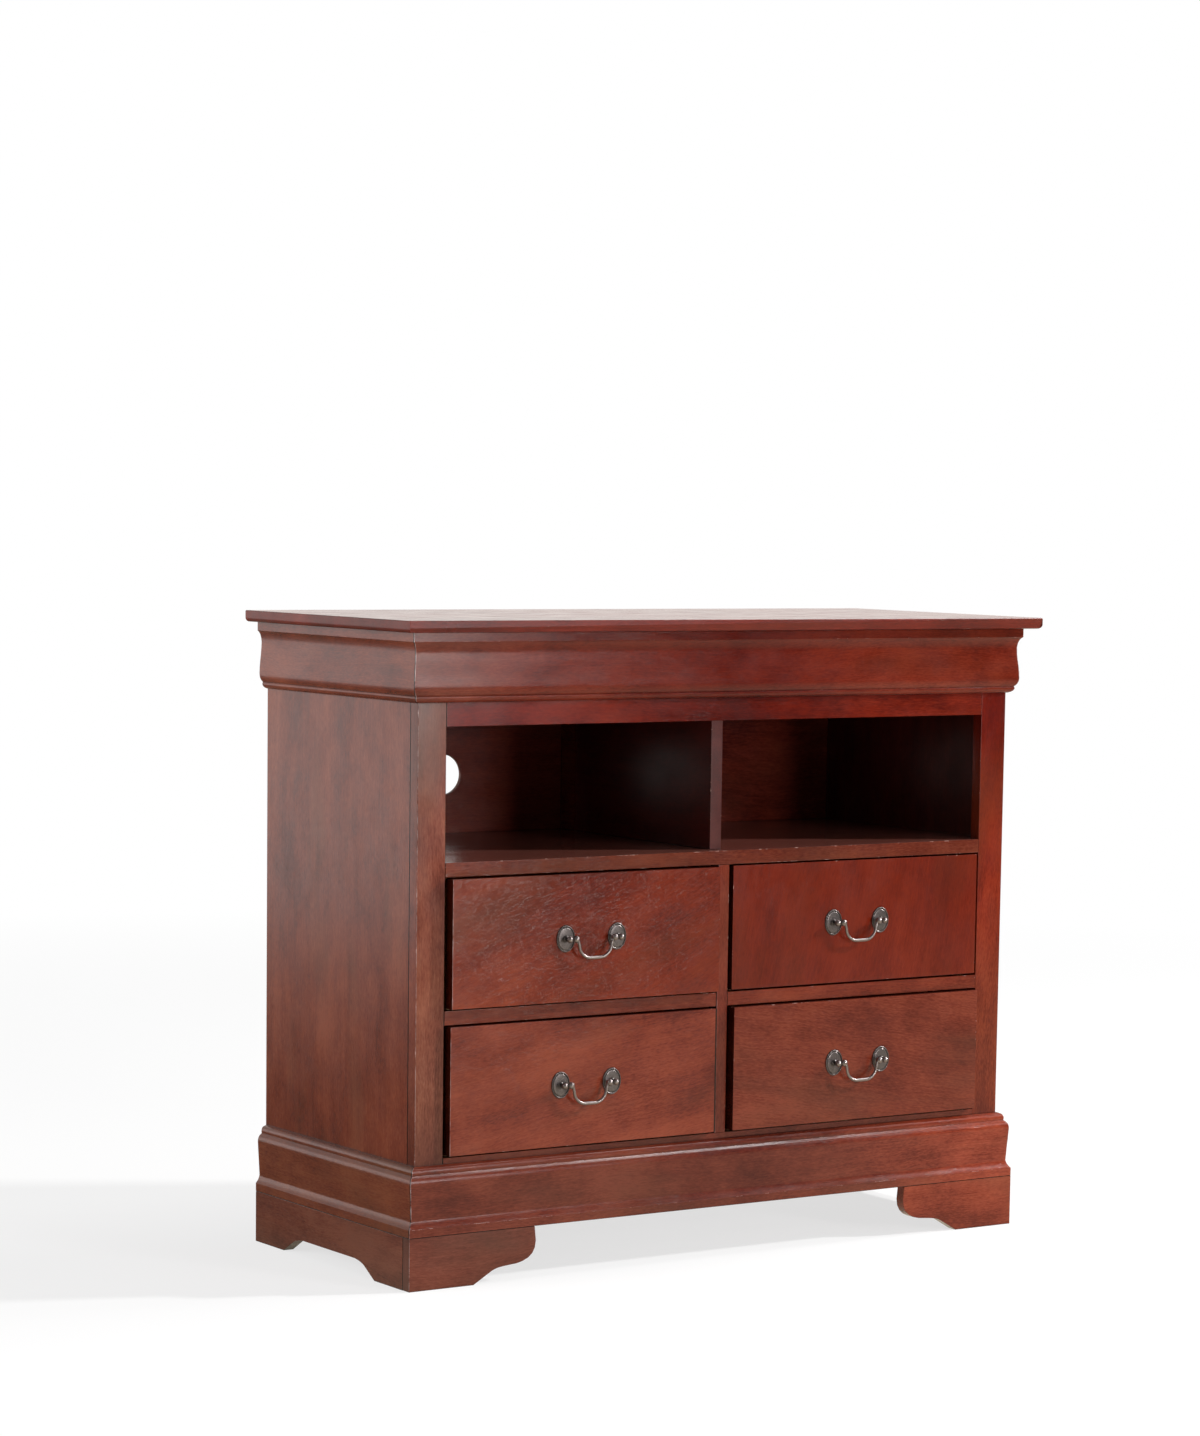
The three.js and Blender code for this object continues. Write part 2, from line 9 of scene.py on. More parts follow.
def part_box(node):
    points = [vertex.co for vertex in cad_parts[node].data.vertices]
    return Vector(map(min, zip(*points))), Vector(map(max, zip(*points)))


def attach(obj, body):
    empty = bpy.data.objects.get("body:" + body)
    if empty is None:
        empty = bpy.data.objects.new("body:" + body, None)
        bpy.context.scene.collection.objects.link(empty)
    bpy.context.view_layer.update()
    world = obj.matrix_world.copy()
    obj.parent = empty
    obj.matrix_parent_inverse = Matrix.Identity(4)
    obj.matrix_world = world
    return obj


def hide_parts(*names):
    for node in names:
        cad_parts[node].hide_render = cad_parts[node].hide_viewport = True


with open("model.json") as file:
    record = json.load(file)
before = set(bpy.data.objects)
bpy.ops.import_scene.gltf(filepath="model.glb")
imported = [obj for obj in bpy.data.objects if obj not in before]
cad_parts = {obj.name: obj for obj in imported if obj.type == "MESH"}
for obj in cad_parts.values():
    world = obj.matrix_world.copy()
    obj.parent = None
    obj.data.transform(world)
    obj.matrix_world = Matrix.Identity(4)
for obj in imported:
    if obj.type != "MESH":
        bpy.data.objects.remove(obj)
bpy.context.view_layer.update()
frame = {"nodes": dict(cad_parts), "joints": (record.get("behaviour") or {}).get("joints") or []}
nodes = frame["nodes"]
joints = {poolAndShade["name"]: poolAndShade for poolAndShade in frame["joints"]}
print("frame loaded:", len(nodes), "parts")

mm = 0.001
drawerNames = ("upper_left", "upper_right", "lower_left", "lower_right")

# camera: stands to the left, a little above the top, with a long lens
cameraSetup = {
    "place": (-3.176251, -4.703683, 1.057359),   # metres from the floor under the middle of the chest
    "heading": -34.50484,                        # degrees from straight at the front
    "dip": 6.46545,                              # degrees below level
    "roll": 0.89830,
    "lens": 99.415,
    "sensor": 36,
    "shift": (-0.0557, 0.1616),
    "clip": (0.1, 100),
}


def addToScene(name, data):
    thing = bpy.data.objects.new(name, data)
    bpy.context.scene.collection.objects.link(thing)
    return thing


def makeCamera(setup):
    heading, dip, roll = (math.radians(setup[key]) for key in ("heading", "dip", "roll"))
    forward = Vector((-math.sin(heading) * math.cos(dip), math.cos(heading) * math.cos(dip), -math.sin(dip)))
    level = Vector((math.cos(heading), math.sin(heading), 0))
    upright = level.cross(forward)
    right = level * math.cos(roll) + upright * math.sin(roll)
    up = upright * math.cos(roll) - level * math.sin(roll)
    data = bpy.data.cameras.new("camera")
    data.sensor_width = setup["sensor"]
    data.lens = setup["lens"]
    data.shift_x, data.shift_y = setup["shift"]
    data.clip_start, data.clip_end = setup["clip"]
    camera = addToScene("camera", data)
    camera.matrix_world = Matrix((
        (right.x, up.x, -forward.x, setup["place"][0]),
        (right.y, up.y, -forward.y, setup["place"][1]),
        (right.z, up.z, -forward.z, setup["place"][2]),
        (0, 0, 0, 1),
    ))
    bpy.context.scene.camera = camera


makeCamera(cameraSetup)
print("camera placed")

black = (0.0, 0.0, 0.0)
white = (1.0, 1.0, 1.0)


# small helpers for node trees: a value that isn't linked is set on the socket itself
def freshTree(name):
    material = bpy.data.materials.new(name)
    material.use_nodes = True
    material.node_tree.nodes.clear()
    return material, material.node_tree


def feed(tree, socket, value):
    if isinstance(value, bpy.types.NodeSocket):
        tree.links.new(value, socket)
    else:
        socket.default_value = value


def addNode(tree, kind, settings=None, **values):
    node = tree.nodes.new(kind)
    for key, value in (settings or {}).items():
        setattr(node, key, value)
    for key, value in values.items():
        feed(tree, node.inputs[key.replace("_", " ")], value)
    return node


def addMath(tree, operation, *values):
    node = addNode(tree, "ShaderNodeMath", {"operation": operation})
    for socket, value in zip(node.inputs, values):
        feed(tree, socket, value)
    return node.outputs[0]


def vectorMath(tree, operation, *values, result="Vector"):
    node = addNode(tree, "ShaderNodeVectorMath", {"operation": operation})
    for socket, value in zip(node.inputs, values):
        feed(tree, socket, value)
    return node.outputs[result]


def splitAxes(tree, space):
    return list(addNode(tree, "ShaderNodeSeparateXYZ", Vector=space).outputs)


def joinAxes(tree, *values):
    node = addNode(tree, "ShaderNodeCombineXYZ")
    for socket, value in zip(node.inputs, values):
        feed(tree, socket, value)
    return node.outputs[0]


# two scales stretch the noise: the first along the grain, the second across it and into the board
def addNoise(tree, space, scale, detail=2.0, roughness=0.5, kind="3D"):
    if isinstance(scale, tuple):
        along, across = scale
        space, scale = vectorMath(tree, "MULTIPLY", space, (along, across, across)), 1.0
    node = addNode(tree, "ShaderNodeTexNoise", {"noise_dimensions": kind},
                   Scale=scale, Detail=detail, Roughness=roughness)
    feed(tree, node.inputs["W" if kind == "1D" else "Vector"], space)
    return node.outputs[0]


def remap(tree, value, fromLow, fromHigh, toLow=0.0, toHigh=1.0):
    node = addNode(tree, "ShaderNodeMapRange")
    for socket, entry in zip(node.inputs, (value, fromLow, fromHigh, toLow, toHigh)):
        feed(tree, socket, entry)
    return node.outputs[0]


def addRamp(tree, factor, places, colours):
    node = addNode(tree, "ShaderNodeValToRGB")
    tree.links.new(factor, node.inputs[0])
    ramp = node.color_ramp
    while len(ramp.elements) < len(places):
        ramp.elements.new(0.5)
    for element, place, colour in zip(ramp.elements, places, colours):
        element.position = place
        element.color = (*colour, 1)
    return node.outputs[0]


def mixColours(tree, factor, first, second, blend="MIX"):
    node = addNode(tree, "ShaderNodeMix", {"data_type": "RGBA", "blend_type": blend})
    for socket, value in ((node.inputs[0], factor), (node.inputs[6], first), (node.inputs[7], second)):
        feed(tree, socket, (*value, 1) if isinstance(value, tuple) else value)
    return node.outputs[2]


def tinted(tree, share, colour, tint):
    return mixColours(tree, share, colour, mixColours(tree, 1.0, colour, tint, "MULTIPLY"))


# 1 on open faces, less in corners within reach
def openness(tree, reach, samples):
    return addNode(tree, "ShaderNodeAmbientOcclusion", {"samples": samples}, Distance=reach).outputs["AO"]


# a thin line with soft sides where one coordinate comes near a value
def lineAlong(tree, place, lineAt, halfWidth, within, outside):
    gap = addMath(tree, "ABSOLUTE", addMath(tree, "SUBTRACT", place, lineAt))
    return remap(tree, gap, halfWidth * 0.6, halfWidth, within, outside)


# the board's own space: along the grain, across it on the face, and into the board
def boardSpace(tree, coords, board, centre):
    parts = splitAxes(tree, vectorMath(tree, "SUBTRACT", coords, centre))
    first, second = ("xyz".index(axis) for axis in board["axes"])
    third = 3 - first - second
    turn = math.radians(board.get("tilt", 0))
    along, across = parts[first], parts[second]
    if turn:
        turnedAlong = addMath(tree, "MULTIPLY_ADD", across, math.sin(turn),
                              addMath(tree, "MULTIPLY", along, math.cos(turn)))
        turnedAcross = addMath(tree, "MULTIPLY_ADD", along, -math.sin(turn),
                               addMath(tree, "MULTIPLY", across, math.cos(turn)))
        along, across = turnedAlong, turnedAcross
    return along, across, parts[third]


# cherry-red stain under satin lacquer; scales are per metre, and a pair is along the grain and across it
cherryStain = {
    # shares of the mean colour that each board gives
    "dark": (0.55, 0.42, 0.42),
    "light": (1.40, 1.75, 1.75),
    "brown": (0.72, 1.45, 1.60),
    "pore": (0.30, 0.30, 0.35),
    # colours of their own
    "worn": (0.40, 0.23, 0.19),         # bare wood and chalky lacquer on rubbed edges
    "dust": (0.175, 0.058, 0.043),
    "arrisGlint": (0.62, 0.50, 0.47),        # painted highlight along a sharp arris, pale like rubbed lacquer

    "cutSteps": (1.37, 0.71, 2.13),     # metres from one board's cut in the log to the next one's
    "wanderScales": (2.4, 3.5),
    "wander": 0.05,                     # metres that the grain strays
    # the figure in layers: scales, detail, and how much each shows
    "layers": [
        ((1.3, 13.0), 3.0, 0.32),
        ((5.0, 8.0), 4.0, 0.52),
        ((18.0, 28.0), 3.0, 0.34),
        ((4.5, 60.0), 2.0, 0.13),
        ((14.0, 430.0), 2.0, 0.20),
        ((130.0, 620.0), 2.0, 0.38),
    ],
    "layerRoughness": 0.55,
    "toneStops": (0.20, 0.50, 0.80),    # where dark, mean and light lie
    "growthLines": 70.0,
    "growthShown": 0.06,
    "growthWander": 0.10,
    "pithDepth": 0.09,                  # metres behind the face, and how it runs out along the board
    "pithSlope": 0.25,
    "brownScales": (3.0, 12.0),
    "brownFrom": (0.50, 0.75),
    "brownShown": 0.6,
    "poreScales": (95.0, 1500.0),
    "poreFrom": (0.57, 0.68),
    "poreShown": 0.28,

    "poolAndShade": 0.22,                      # how dark the stain gets where it pools in a joint, and the painted shade in corners and recesses
    "poolAndShadeReach": 2.5 * mm,
    "poolAndShadeFrom": (0.30, 0.90),
    "poolAndShadeFromWorn": (0.60, 0.92),
    "line": 0.10,                       # and how dark along the seams that a board names
    "wearScales": (55.0, 150.0),
    "wearFrom": (0.66, 0.70),
    "wearSpreads": 0.2,
    "arrisGlintScale": 60.0,
    "arrisGlintFrom": (0.38, 0.62),
    "speckScale": 300.0,
    "speckFrom": (0.3, 0.6),
    "speckShown": (0.55, 1.0),

    "roughness": (0.15, 0.23),
    "insideRoughness": 0.18,
    "glossScales": (18.0, 30.0),
    "glossFrom": (0.3, 0.7),
    "specular": 0.32,
    "skinScales": (300.0, 420.0),
    "skinPores": 0.5,
    "relief": 0.48,
    "reliefDepth": 0.12 * mm,
}

# which way a face turns, as the part of its normal that points up or to the front
facingRanges = {
    "dusty": (0.7, 0.95),           # up
    "mattEdge": (0.3, 0.8),
    "rim": (0.45, 0.75),            # to the front or back
    "front": (-0.4, -0.65),
}


# light and dark figure, with arched growth lines from a pith that runs slowly out of the board
def grainTone(tree, grain, along, across, wander, figure, look):
    tone = 0.5
    for scales, detail, share in look["layers"]:
        layer = addNoise(tree, grain, scales, detail, look["layerRoughness"])
        tone = addMath(tree, "MULTIPLY_ADD", addMath(tree, "SUBTRACT", layer, 0.5), 2 * share * figure, tone)
    pith = joinAxes(
        tree, 0.0,
        addMath(tree, "MULTIPLY_ADD", wander, look["growthWander"], across),
        addMath(tree, "MULTIPLY_ADD", along, look["pithSlope"], look["pithDepth"]),
    )
    rings = addNoise(tree, vectorMath(tree, "LENGTH", pith, result="Value"), look["growthLines"], 3.0, 0.65, "1D")
    return addMath(tree, "MULTIPLY_ADD", addMath(tree, "SUBTRACT", rings, 0.5), 2 * look["growthShown"], tone)


def stainedBoard(name, board, centre, seed, look=cherryStain, worn=0.0):
    material, tree = freshTree(name)
    coords = addNode(tree, "ShaderNodeTexCoord").outputs["Object"]
    facing = splitAxes(tree, addNode(tree, "ShaderNodeNewGeometry").outputs["Normal"])
    places = dict(zip("xyz", splitAxes(tree, coords)))
    places["mitre"] = addMath(tree, "ADD", addMath(tree, "ABSOLUTE", places["x"]), places["y"])

    # every board is cut from its own place in the log, and the grain wanders a little
    along, across, depth = boardSpace(tree, coords, board, centre)
    cut = [
        addMath(tree, "ADD", value, seed * step)
        for value, step in zip((along, across, depth), look["cutSteps"])
    ]
    place = joinAxes(tree, *cut)
    wander = addNoise(tree, place, look["wanderScales"])
    grain = joinAxes(tree, cut[0], addMath(tree, "MULTIPLY_ADD", wander, look["wander"], cut[1]), cut[2])

    # the stain: figure, brown patches and dark pores
    tone = grainTone(tree, grain, along, across, wander, board.get("figure", 1.0), look)
    stain = addRamp(tree, tone, look["toneStops"], (look["dark"], white, look["light"]))
    brown = addNoise(tree, grain, look["brownScales"], 3.0)
    brown = remap(tree, brown, *look["brownFrom"], 0.0, look["brownShown"])
    stain = mixColours(tree, brown, stain, look["brown"])
    pores = remap(tree, addNoise(tree, grain, look["poreScales"], 1.0), *look["poreFrom"])
    stain = mixColours(tree, addMath(tree, "MULTIPLY", pores, look["poreShown"]), stain, look["pore"])
    stain = mixColours(tree, 1.0, stain, board["stain"], "MULTIPLY")

    # painted light and shade: round patches with soft sides, pale where glare is painted and darker where shade
    # is painted; then the faces inside the case
    for middle, radius, tint in board.get("zones", ()):
        near = remap(tree, vectorMath(tree, "DISTANCE", coords, middle, result="Value"), 0.0, radius, 1.0, 0.0)
        steep = addMath(tree, "SUBTRACT", 3.0, addMath(tree, "MULTIPLY", near, 2.0))
        share = addMath(tree, "MULTIPLY", addMath(tree, "MULTIPLY", near, near), steep)
        stain = tinted(tree, share, stain, tint)
    inShare = 0.0
    # painted shade on the faces inside the case; the same tint gives the back panel its raw outer face and the
    # front left foot its end grain
    if "inside" in board:
        axis, outer, inner, tint = board["inside"]
        inShare = remap(tree, addMath(tree, "ABSOLUTE", places[axis]), outer, inner)
        stain = tinted(tree, inShare, stain, tint)
    # dust, and painted light: a pale speckled colour on the faces that look up
    if "dust" in board:
        upward = remap(tree, facing[2], *facingRanges["dusty"], 0.0, board["dust"])
        speck = addNoise(tree, coords, look["speckScale"], 3.0, 0.7)
        speck = remap(tree, speck, *look["speckFrom"], *look["speckShown"])
        stain = mixColours(tree, addMath(tree, "MULTIPLY", upward, speck), stain, look["dust"])

    # end grain and the other faces that turn from the front drink more stain, and on the drawer fronts they also
    # carry painted shade from the gaps around them
    if "rim" in board:
        away = remap(tree, addMath(tree, "ABSOLUTE", facing[1]), *facingRanges["rim"], 1.0, 0.0)
        stain = tinted(tree, away, stain, board["rim"])

    # stain pools where boards meet and painted shade darkens every corner and recess within reach, and lacquer
    # rubs through on the edges
    poolAndShadeRange = look["poolAndShadeFromWorn"] if worn else look["poolAndShadeFrom"]
    pooledAndShaded = remap(tree, openness(tree, look["poolAndShadeReach"], 6), *poolAndShadeRange, look["poolAndShade"], 1.0)
    if worn:
        wear = addNoise(tree, grain, look["wearScales"], 4.0, 0.7)
        rubbed = remap(tree, wear, *(level - worn * look["wearSpreads"] for level in look["wearFrom"]))
        stain = mixColours(tree, rubbed, stain, look["worn"])
    for axis, seamAt, halfWidth in board.get("seams", ()):
        seam = lineAlong(tree, places[axis], seamAt, halfWidth, look["line"], 1.0)
        pooledAndShaded = addMath(tree, "MULTIPLY", pooledAndShaded, seam)
    stain = mixColours(tree, 1.0, stain, joinAxes(tree, pooledAndShaded, pooledAndShaded, pooledAndShaded), "MULTIPLY")
    # painted highlight: pale lines along the listed arrises, broken up by noise, on faces that turn to the front
    if "arrises" in board:
        glintShare = remap(tree, addNoise(tree, coords, look["arrisGlintScale"], 4.0, 0.7), *look["arrisGlintFrom"])
        glintShare = addMath(tree, "MULTIPLY", glintShare, remap(tree, facing[1], *facingRanges["front"]))
        for axis, arrisAt, halfWidth, strength in board["arrises"]:
            arris = lineAlong(tree, places[axis], arrisAt, halfWidth, strength, 0.0)
            stain = mixColours(tree, addMath(tree, "MULTIPLY", arris, glintShare), stain, look["arrisGlint"])

    # the lacquer: uneven gloss over a fine skin that sinks into the pores
    gloss = addNoise(tree, place, look["glossScales"], 4.0)
    rough = remap(tree, gloss, *look["glossFrom"], *look["roughness"])
    rough = addMath(tree, "MULTIPLY_ADD", inShare, look["insideRoughness"], rough)
    if "mattEdge" in board:
        matt = remap(tree, facing[2], *facingRanges["mattEdge"], board["mattEdge"], 0.0)
        rough = addMath(tree, "ADD", rough, matt)
    skin = addNoise(tree, place, look["skinScales"], 2.0, 0.6)
    relief = addMath(tree, "SUBTRACT", skin, addMath(tree, "MULTIPLY", pores, look["skinPores"]))
    bump = addNode(tree, "ShaderNodeBump", Height=relief, Strength=look["relief"], Distance=look["reliefDepth"])
    shader = addNode(
        tree, "ShaderNodeBsdfPrincipled", Base_Color=stain, Roughness=rough, Normal=bump.outputs[0],
        Specular_IOR_Level=board.get("specular", look["specular"]),
    )
    addNode(tree, "ShaderNodeOutputMaterial", Surface=shader.outputs[0])
    return material


# the outer boards; "mitre" is the plane where the front and side mouldings meet
#   axes     along the grain, and across it on the face
#   tilt     of the grain, in degrees
#   stain    mean colour; besides the wood's own tone it paints some light, greyer and pinker with glare on the left-hand boards
#   figure   share of the usual figure
#   zones    middle, radius and tint of a patch of painted light and shade
#   inside   axis, where it starts and is full, and tint of the faces inside the case, which is painted shade; on the back panel and a foot it tints the raw face and end grain
#   rim      tint of the faces that turn from the front: darker end grain, and painted shade in the drawer gaps
#   seams    axis, place and half width of a dark line: joints, and on the lower left drawer a painted gap shadow
#   arrises  axis, place, half width and strength of a pale painted highlight along an edge
#   worn     how far the lacquer is rubbed on the edges
#   dust     its share on level faces: dust, and painted light on the faces that look up
#   specular of the lacquer, and mattEdge the roughness added where a face isn't level
# painted shade on the sides of the drawer fronts, where the gaps lie in shadow, over their darker end grain
drawerRim = (0.30, 0.26, 0.26)
boards = {
    "top_board": {
        "axes": "xy", "stain": (0.132, 0.0085, 0.0028), "specular": 0.29,
        "dust": 0.35, "worn": 0.25, "mattEdge": 0.12,
    },
    "cornice_front": {
        "axes": "xz", "stain": (0.122, 0.0120, 0.0044), "specular": 0.27, "worn": 0.45,
        # painted glare at the left end, painted shade across the middle
        "zones": [
            ((-0.49, -0.24, 0.85), 0.20, (1.30, 2.4, 3.6)),
            ((0.0, -0.24, 0.85), 0.36, (0.66, 0.36, 0.22)),
        ],
        "arrises": [("mitre", 0.3095, 0.9 * mm, 0.85)],
    },
    "cornice_left": {
        "axes": "yz", "stain": (0.150, 0.0230, 0.0090),
        "seams": [("mitre", 0.3099, 2.2 * mm)],
    },
    "cornice_right": {"axes": "yz", "stain": (0.130, 0.0150, 0.0060)},
    "side_panel_left": {
        "axes": "zy", "stain": (0.158, 0.0270, 0.0110),
        "seams": [("y", -0.1693, 1.5 * mm)],
        # painted shade on the inner face
        "inside": ("x", 0.493, 0.487, (0.4, 0.3, 0.4)),
    },
    "side_panel_right": {
        "axes": "zy", "stain": (0.150, 0.0200, 0.0080),
        # painted shade on the inner face
        "inside": ("x", 0.493, 0.487, (0.4, 0.3, 0.4)),
    },
    "stile_left": {
        "axes": "zx", "stain": (0.182, 0.0450, 0.0240), "worn": 0.26, "rim": (0.92, 0.62, 0.52),
        "seams": [("y", -0.1695, 0.9 * mm), ("x", -0.4540, 0.9 * mm)],
        # painted shade: darker near the top, lower down and just above the plinth
        "zones": [
            ((-0.48, -0.19, 0.78), 0.30, (0.91, 0.83, 0.85)),
            ((-0.48, -0.19, 0.20), 0.28, (0.85, 0.92, 0.92)),
            ((-0.476, -0.19, 0.165), 0.09, (0.55, 0.42, 0.45)),
        ],
        "arrises": [("x", -0.4980, 0.9 * mm, 0.50)],
    },
    "stile_right": {
        "axes": "zx", "tilt": 6, "stain": (0.133, 0.0136, 0.0044),
        # painted light and shade: lighter in the middle, darker near the top, paler and greyer low down
        "zones": [
            ((0.47, -0.19, 0.52), 0.16, (1.32, 1.15, 1.1)),
            ((0.47, -0.19, 0.76), 0.15, (0.68, 0.26, 0.20)),
            ((0.47, -0.19, 0.26), 0.18, (1.22, 1.75, 1.7)),
        ],
    },
    "top_rail": {
        "axes": "xz", "stain": (0.128, 0.0092, 0.0030), "specular": 0.23,
        "seams": [("x", -0.4538, 0.8 * mm)],
        # painted shade, strongest in green and blue, across the middle and at the left
        "zones": [
            ((0.0, -0.19, 0.77), 0.32, (0.66, 0.45, 0.30)),
            ((-0.42, -0.19, 0.77), 0.25, (0.97, 0.55, 0.35)),
        ],
    },
    "bottom_rail": {
        "axes": "xz", "stain": (0.120, 0.0170, 0.0080),
        "seams": [("x", -0.4538, 0.8 * mm)],
    },
    "shelf_board": {
        # on the cubby floor the dust colour also paints the light that falls in
        "axes": "xz", "stain": (0.111, 0.0190, 0.0085), "specular": 0.25, "dust": 1.0, "worn": 0.40,
        # painted light at the left front
        "zones": [((-0.42, -0.19, 0.56), 0.22, (1.26, 1.3, 1.35))],
    },
    "cubby_partition": {
        "axes": "yz", "stain": (0.124, 0.0120, 0.0040), "worn": 0.20,
        # painted shade on the faces back from the front edge
        "inside": ("y", 0.186, 0.172, (0.5, 0.35, 0.45)),
    },
    "centre_stile": {
        "axes": "zx", "stain": (0.130, 0.0180, 0.0080),
        "seams": [("x", -0.0093, 0.8 * mm)],
        "arrises": [("x", -0.0080, 0.7 * mm, 0.15)],
    },
    "mid_rail_left": {
        "axes": "xz", "stain": (0.130, 0.0190, 0.0085),
        "seams": [("x", -0.0094, 1.0 * mm), ("x", -0.4538, 0.8 * mm)],
    },
    "mid_rail_right": {
        "axes": "xz", "stain": (0.140, 0.0180, 0.0070),
        "seams": [("x", 0.0094, 0.8 * mm)],
    },
    "plinth_front": {
        "axes": "xz", "stain": (0.122, 0.0200, 0.0100), "worn": 0.48,
        "seams": [("z", 0.0725, 0.6 * mm)],
        # painted light at the right end, painted shade in the middle
        "zones": [
            ((0.50, -0.22, 0.14), 0.36, (1.75, 1.55, 1.3)),
            ((0.0, -0.22, 0.14), 0.27, (0.78, 0.69, 0.68)),
        ],
        "arrises": [("mitre", 0.3095, 0.9 * mm, 0.80)],
    },
    "plinth_left": {
        "axes": "yz", "stain": (0.136, 0.0260, 0.0100),
        "seams": [("z", 0.0725, 0.6 * mm), ("mitre", 0.3099, 2.0 * mm)],
    },
    "plinth_right": {"axes": "yz", "stain": (0.150, 0.0200, 0.0080)},
    "foot_front_left": {
        "axes": "xz", "stain": (0.139, 0.0275, 0.0156), "worn": 0.40,
        "seams": [("z", 0.0723, 0.5 * mm)],
        "inside": ("x", 0.5145, 0.5155, (0.68, 0.80, 0.80)),
        "arrises": [("mitre", 0.3095, 0.8 * mm, 0.45)],
    },
    "foot_front_right": {
        "axes": "xz", "stain": (0.185, 0.0270, 0.0110),
        "seams": [("z", 0.0723, 0.5 * mm)],
    },
    "skirt_left": {
        "axes": "yz", "stain": (0.129, 0.0290, 0.0160),
        "seams": [("z", 0.0723, 0.5 * mm), ("y", -0.1900, 1.6 * mm)],
    },
    "skirt_right": {"axes": "yz", "stain": (0.150, 0.0200, 0.0080)},
    "drawer_front_upper_left": {
        "axes": "xz", "tilt": 24, "stain": (0.130, 0.0126, 0.0034), "rim": drawerRim,
        # painted glare at the left
        "zones": [((-0.44, -0.2, 0.46), 0.26, (1.19, 1.6, 2.0))],
        "arrises": [("x", -0.4480, 1.0 * mm, 0.50)],
    },
    "drawer_front_upper_right": {
        "axes": "xz", "tilt": 78, "figure": 0.6, "stain": (0.121, 0.0095, 0.0024), "rim": drawerRim,
        "arrises": [("x", 0.0135, 0.9 * mm, 0.20)],
    },
    "drawer_front_lower_left": {
        "axes": "xz", "tilt": 10, "stain": (0.151, 0.0223, 0.0096), "rim": drawerRim,
        # painted shadow of the gap beside the centre stile
        "seams": [("x", -0.0135, 3.0 * mm)],
        "arrises": [("x", -0.4480, 1.0 * mm, 0.30)],
    },
    "drawer_front_lower_right": {
        "axes": "xz", "tilt": -8, "stain": (0.127, 0.0183, 0.0079), "rim": drawerRim,
        "arrises": [("x", 0.0135, 0.9 * mm, 0.30)],
    },
}
usualWear = 0.18

# pale hardwood of the drawer boxes
boxWood = {
    **cherryStain,
    "dark": (0.80, 0.76, 0.72),
    "light": (1.15, 1.20, 1.28),
    "brown": (0.90, 0.86, 0.82),
    "poolAndShade": 0.35,
    "roughness": (0.42, 0.58),
    "relief": 0.2,
}
innerBoards = {
    "back_panel": {
        "axes": "xz", "stain": (0.102, 0.0125, 0.0065), "specular": 0.18,
        "inside": ("y", 0.2228, 0.2236, (1.55, 3.8, 4.2)),      # here the raw outer face
    },
    "dust_panel": {"axes": "xy", "stain": (0.080, 0.0180, 0.0100)},
    "side": {"axes": "yz", "stain": (0.455, 0.275, 0.135)},
    "back": {"axes": "xz", "stain": (0.440, 0.262, 0.128)},
    "bottom": {"axes": "xy", "stain": (0.420, 0.250, 0.125)},
}

edges = {
    "width": 0.7 * mm,
    "steps": 2,
    "sharpFrom": 38,      # degrees between two faces
    "weld": 0.01 * mm,
}


# smooths what is curved and leaves sharp edges sharp; the points stay where they are
def smoothCurves(name):
    group = bpy.data.node_groups.new(name, "GeometryNodeTree")
    group.interface.new_socket("Geometry", in_out="INPUT", socket_type="NodeSocketGeometry")
    group.interface.new_socket("Geometry", in_out="OUTPUT", socket_type="NodeSocketGeometry")
    start = addNode(group, "NodeGroupInput")
    end = addNode(group, "NodeGroupOutput")
    angle = addNode(group, "GeometryNodeInputMeshEdgeAngle")
    curved = addNode(group, "FunctionNodeCompare", {"operation": "LESS_THAN"})
    feed(group, curved.inputs[0], angle.outputs[0])
    feed(group, curved.inputs[1], math.radians(edges["sharpFrom"]))
    allFaces = addNode(group, "GeometryNodeSetShadeSmooth")
    byEdge = addNode(group, "GeometryNodeSetShadeSmooth", {"domain": "EDGE"})
    feed(group, allFaces.inputs[0], start.outputs[0])
    feed(group, byEdge.inputs[0], allFaces.outputs[0])
    feed(group, byEdge.inputs["Shade Smooth"], curved.outputs[0])
    feed(group, end.inputs[0], byEdge.outputs[0])
    return group


smoothByEdge = smoothCurves("smooth_by_edge")


# welds the solid, eases its sharp edges and shades it
def easeEdges(node, edgeMaterial=0):
    weld = node.modifiers.new("weld", "WELD")
    weld.merge_threshold = edges["weld"]
    bevel = node.modifiers.new("eased edge", "BEVEL")
    bevel.width = edges["width"]
    bevel.segments = edges["steps"]
    bevel.limit_method = "ANGLE"
    bevel.angle_limit = math.radians(edges["sharpFrom"])
    bevel.material = edgeMaterial
    smooth = node.modifiers.new("smooth", "NODES")
    smooth.node_group = smoothByEdge
    weighted = node.modifiers.new("flat faces", "WEIGHTED_NORMAL")
    weighted.keep_sharp = True


def dressNode(name, *materials):
    node = nodes[name]
    node.data.materials.clear()
    for material in materials:
        node.data.materials.append(material)


for seed, (name, board) in enumerate(boards.items(), start=1):
    low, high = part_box(name)
    centre = (low + high) / 2
    wood = stainedBoard(f"stain_{name}", board, centre, seed)
    edge = stainedBoard(f"edge_{name}", board, centre, seed, worn=board.get("worn", usualWear))
    dressNode(name, wood, edge)
    easeEdges(nodes[name], edgeMaterial=1)
print("outer boards stained:", len(boards))

